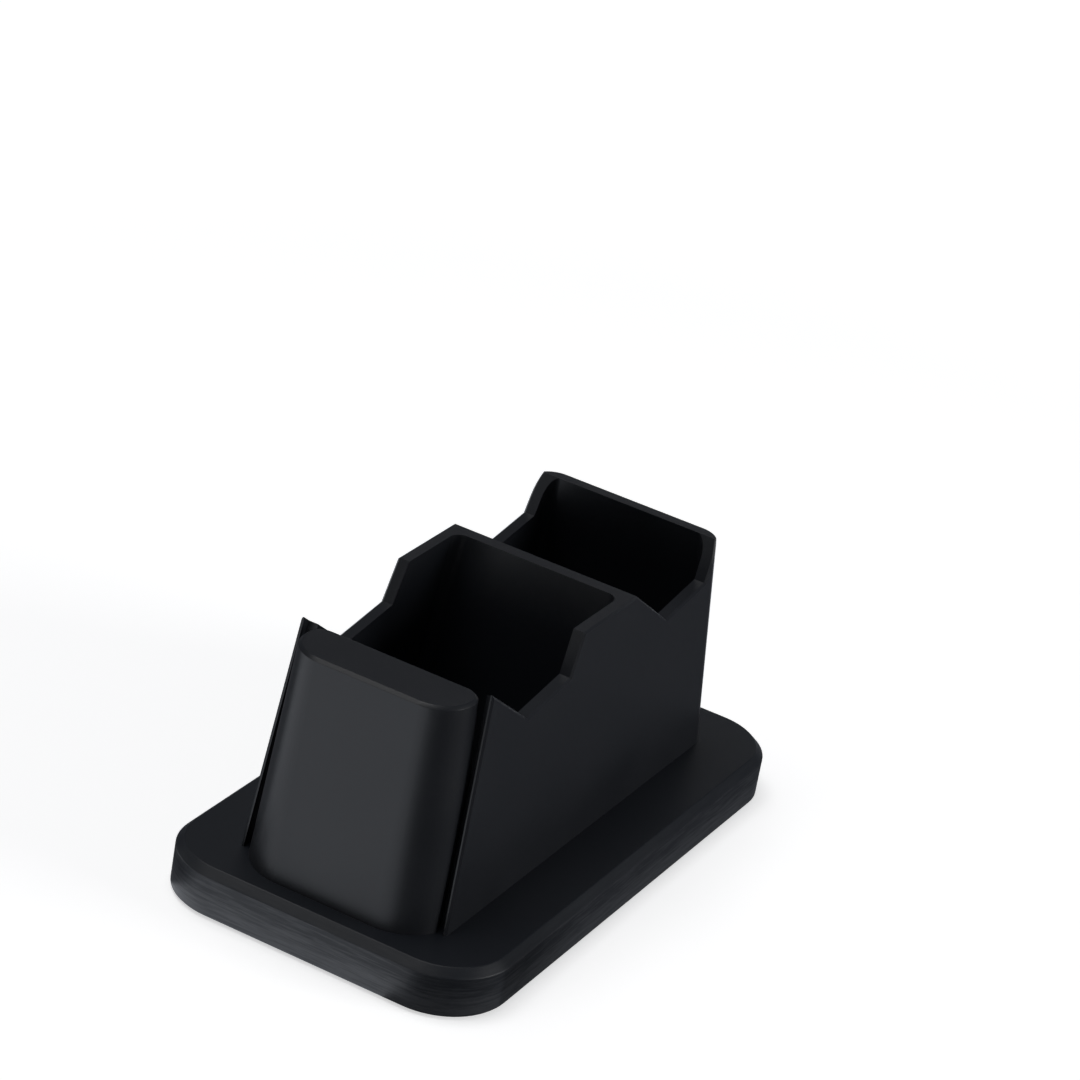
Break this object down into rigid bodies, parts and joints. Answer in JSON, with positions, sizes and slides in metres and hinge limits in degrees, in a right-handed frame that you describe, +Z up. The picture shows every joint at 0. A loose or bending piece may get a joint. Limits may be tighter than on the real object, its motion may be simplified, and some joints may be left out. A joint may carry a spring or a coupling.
{
  "type": "dual controller stand",
  "caption": "Low desk stand for handheld game controllers: a chamfered base plate, a rounded front post and an open cradle frame whose notched cheeks hold them in a row.",
  "frame": {"origin": "on the table, under the middle of the base plate, level with the undersides of the feet", "axes": "+X to the stand's right as seen from its front, +Y from the front post to the rear wall, +Z up"},
  "size_m": [0.072, 0.1302, 0.0583],
  "materials": {
    "stand_plastic": "satin black, fine grain, fine level lines round the base",
    "screw_steel": "dark zinc plated",
    "foot_rubber": "matte black"
  },
  "bodies": {
    "root": {"base_plate": "stand_plastic", "cradle_frame": "stand_plastic", "front_post": "stand_plastic", "base_screws": "screw_steel", "foot_front_left": "foot_rubber", "foot_front_right": "foot_rubber", "foot_rear_left": "foot_rubber", "foot_rear_right": "foot_rubber"}
  },
  "joints": []
}
